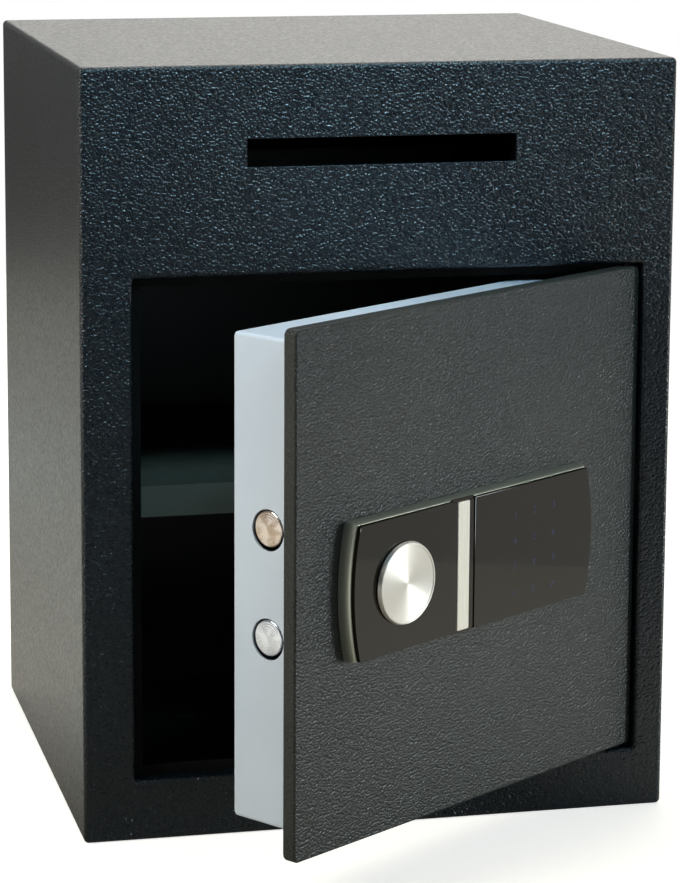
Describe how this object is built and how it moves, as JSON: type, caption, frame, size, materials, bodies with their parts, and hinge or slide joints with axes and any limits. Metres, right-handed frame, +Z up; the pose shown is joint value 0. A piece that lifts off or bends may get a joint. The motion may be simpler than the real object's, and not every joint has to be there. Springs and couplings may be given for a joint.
{
  "type": "deposit safe",
  "caption": "Small steel deposit safe: letter slot with a chute, flush door on pivot pins standing open, electronic lock with a turning knob, and sliding round bolts.",
  "frame": {"origin": "centre of the underside of the cabinet", "axes": "+Z up, -Y out of the front panel, +X to the right seen from the front"},
  "size_m": [0.35, 0.4848, 0.45],
  "materials": {
    "cabinet_paint": "textured powder coat, dark navy charcoal",
    "door_paint": "fine textured powder coat, charcoal",
    "housing_paint": "smooth satin paint, pale blue grey",
    "inner_paint": "smooth satin paint, dark grey",
    "zinc": "zinc plated steel",
    "nickel": "bright nickel plate",
    "silver_trim": "satin silver",
    "spun_aluminium": "spun, fine turning marks",
    "gloss_black": "piano black, mirror gloss",
    "black_plastic": "moulded, matt",
    "black_rubber": "matt",
    "circuit_board": "solder mask",
    "copper": "enamelled copper winding",
    "battery_jacket": "plain printed jacket"
  },
  "bodies": {
    "cabinet": {"cabinet_shell": "cabinet_paint", "front_frame": "cabinet_paint", "door_stop_frame": "cabinet_paint", "rear_panel": "cabinet_paint", "hinge_block_top": "zinc", "hinge_block_bottom": "zinc", "deposit_chute": "inner_paint", "deposit_baffle": "inner_paint", "shelf_peg_left_front": "zinc", "shelf_peg_left_back": "zinc", "shelf_peg_right_front": "zinc", "shelf_peg_right_back": "zinc", "floor_plug_left": "black_rubber", "rear_plug_left": "black_rubber", "floor_plug_right": "black_rubber", "rear_plug_right": "black_rubber"},
    "shelf": {"shelf": "inner_paint"},
    "door": {"door_plate": "door_paint", "hinge_pin_top": "zinc", "hinge_pin_bottom": "zinc", "boltwork_housing": "housing_paint", "housing_post_lower_free": "zinc", "housing_screw_lower_free": "zinc", "housing_post_upper_free": "zinc", "housing_screw_upper_free": "zinc", "housing_post_lower_hinge": "zinc", "housing_screw_lower_hinge": "zinc", "housing_post_upper_hinge": "zinc", "housing_screw_upper_hinge": "zinc", "lock_housing": "silver_trim", "lock_face_left": "gloss_black", "keypad_lens": "gloss_black", "accent_strip": "silver_trim", "keypad_board": "circuit_board", "lock_screw_left": "zinc", "lock_screw_right": "zinc", "carriage_guide_lower": "zinc", "carriage_guide_upper": "zinc", "solenoid_frame": "zinc", "solenoid_coil": "copper", "battery_tray": "black_plastic", "battery_1": "battery_jacket", "battery_2": "battery_jacket", "battery_3": "battery_jacket", "battery_4": "battery_jacket"},
    "knob": {"knob": "spun_aluminium", "knob_spindle": "zinc", "drive_cam": "zinc"},
    "boltwork": {"bolt_carriage": "zinc", "bolt_lower": "nickel", "bolt_upper": "nickel"},
    "plunger": {"solenoid_plunger": "zinc"},
    "battery_cover": {"battery_cover": "black_plastic"}
  },
  "joints": [
    {"name": "door_hinge", "type": "hinge", "parent": "cabinet", "child": "door", "pos_m": [0.147, -0.1544, 0.183], "axis": [0, 0, 1], "range_deg": [-35, 75]},
    {"name": "knob_turn", "type": "hinge", "parent": "door", "child": "knob", "pos_m": [-0.02871, -0.27743, 0.181], "axis": [0.5736, -0.8192, 0], "range_deg": [0, 90]},
    {"name": "bolt_throw", "type": "slide", "parent": "door", "child": "boltwork", "axis": [-0.8192, -0.5736, 0], "range_m": [0, 0.018]},
    {"name": "plunger_pull", "type": "slide", "parent": "door", "child": "plunger", "axis": [0, 0, 1], "range_m": [0, 0.003], "stiffness_N_per_m": 60, "springref_m": -0.004},
    {"name": "battery_cover_release", "type": "slide", "parent": "door", "child": "battery_cover", "axis": [-0.5736, 0.8192, 0], "range_m": [0, 0.01]},
    {"name": "shelf_lift", "type": "slide", "parent": "cabinet", "child": "shelf", "axis": [0, 0, 1], "range_m": [0, 0.02]}
  ],
  "couplings": [
    {"joint": "knob_turn", "follows": "bolt_throw", "rad_per_m": 87.266}
  ]
}
